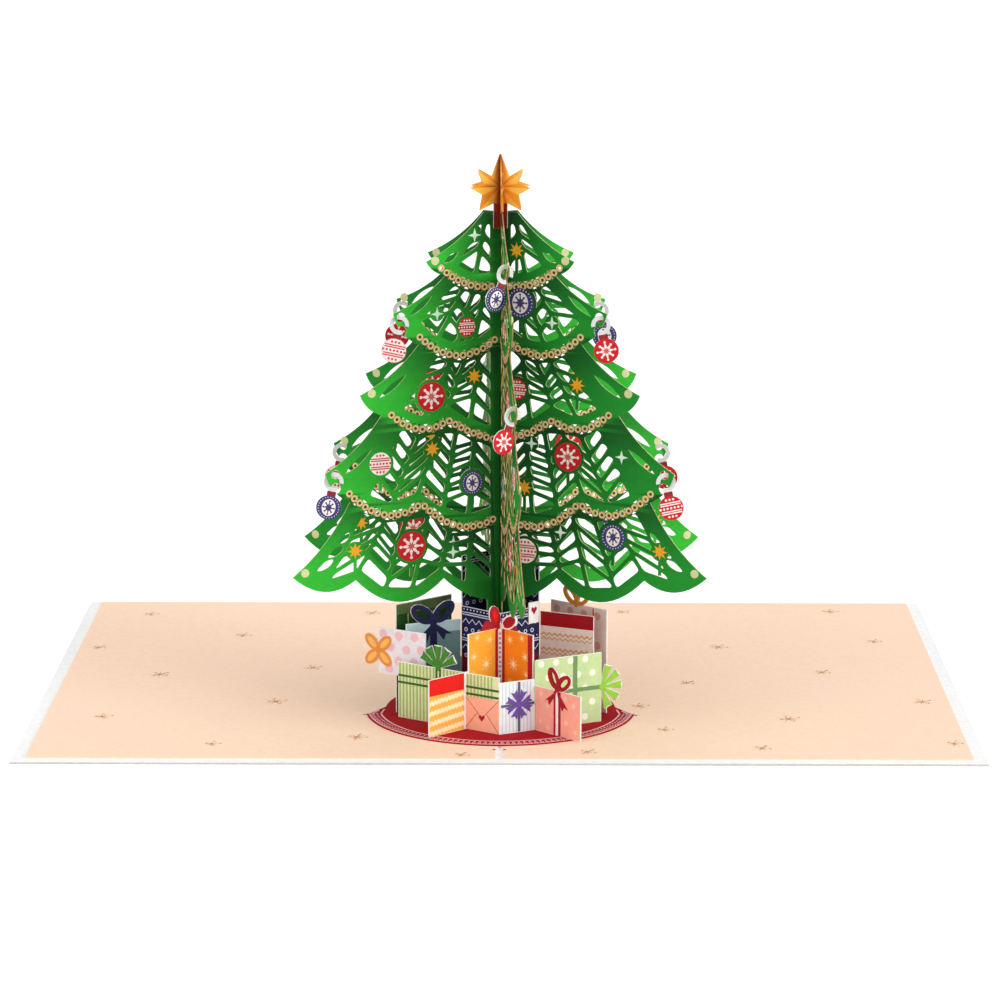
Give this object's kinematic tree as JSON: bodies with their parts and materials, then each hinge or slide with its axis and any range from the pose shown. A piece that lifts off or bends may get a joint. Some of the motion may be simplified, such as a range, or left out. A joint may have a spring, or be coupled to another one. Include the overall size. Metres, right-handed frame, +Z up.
{
  "type": "pop-up card",
  "caption": "Open greeting card from whose fold a slotted paper fir tree stands up, with a star, hanging ornaments, a pot and folded presents round its foot.",
  "frame": {"origin": "on the underside of the open card, at the middle of its fold", "axes": "+X across the open card to its right leaf, +Y along the fold to the back, +Z up through the tree"},
  "size_m": [0.254, 0.1859, 0.1529],
  "materials": {
    "cover_card": "matte",
    "liner": "matte",
    "tree_skirt": "matte",
    "tree_sheet": "matte",
    "star_sheet": "matte",
    "ornament": "matte",
    "pot": "matte",
    "pot_tag": "matte",
    "present_row_front": "matte",
    "present_row_inner": "matte",
    "present_row_back": "matte",
    "present_lilac": "matte",
    "present_blue": "matte",
    "present_chevron": "matte"
  },
  "bodies": {
    "root": {"cover_card": "cover_card", "liner_left": "liner", "liner_right": "liner", "tree_skirt": "tree_skirt", "tree_sheet_left_front": "tree_sheet", "tree_sheet_right_front": "tree_sheet", "tree_sheet_front": "tree_sheet", "star_sheet_left_front": "star_sheet", "star_sheet_right_front": "star_sheet", "star_sheet_front": "star_sheet", "pot": "pot", "pot_tag": "pot_tag", "present_row_front": "present_row_front", "present_row_inner": "present_row_inner", "present_row_back": "present_row_back", "present_lilac": "present_lilac", "present_blue": "present_blue", "present_chevron": "present_chevron", "ornament_left_front_high": "ornament", "ornament_left_front_low": "ornament", "ornament_right_front_high": "ornament", "ornament_right_front_low": "ornament", "ornament_left_back_high": "ornament", "ornament_left_back_low": "ornament", "ornament_right_back_high": "ornament", "ornament_right_back_low": "ornament", "ornament_front_high": "ornament", "ornament_front_low": "ornament", "ornament_back_high": "ornament", "ornament_back_low": "ornament"}
  },
  "joints": []
}
